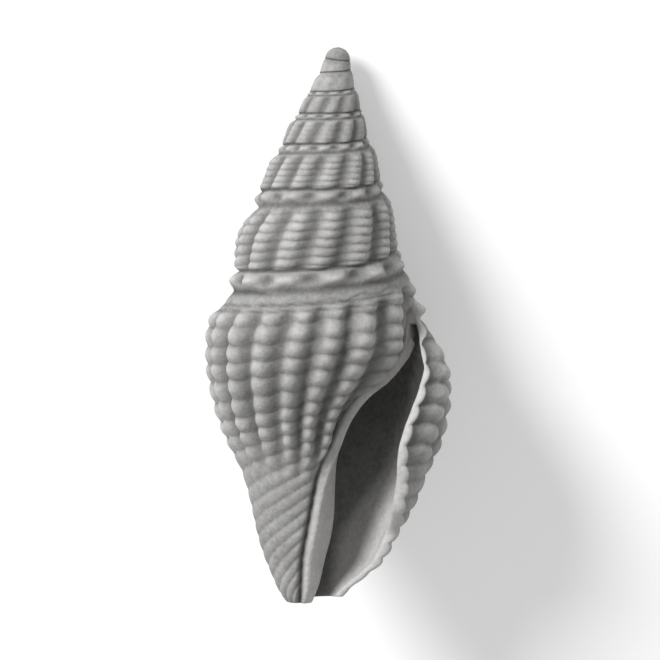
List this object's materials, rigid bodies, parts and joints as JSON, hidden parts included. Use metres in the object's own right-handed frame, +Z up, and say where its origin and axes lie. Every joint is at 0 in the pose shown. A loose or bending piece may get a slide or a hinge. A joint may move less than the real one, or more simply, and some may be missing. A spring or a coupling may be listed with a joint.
{
  "type": "fossil snail shell",
  "caption": "Slender fossil snail shell with a tall ribbed spire, a row of small knobs below each seam and a long open mouth, lying on its back.",
  "frame": {"origin": "centre of the shell's outline seen from above, on the surface it lies on", "axes": "+Z up, out of the mouth; +Y towards the pointed apex, -Y towards the canal; +X towards the side that carries the outer lip"},
  "size_m": [0.0156, 0.0346, 0.013],
  "materials": {
    "shell": "dull, chalky grey fossil shell with darker grooves"
  },
  "bodies": {
    "root": {"shell": "shell"}
  },
  "joints": []
}
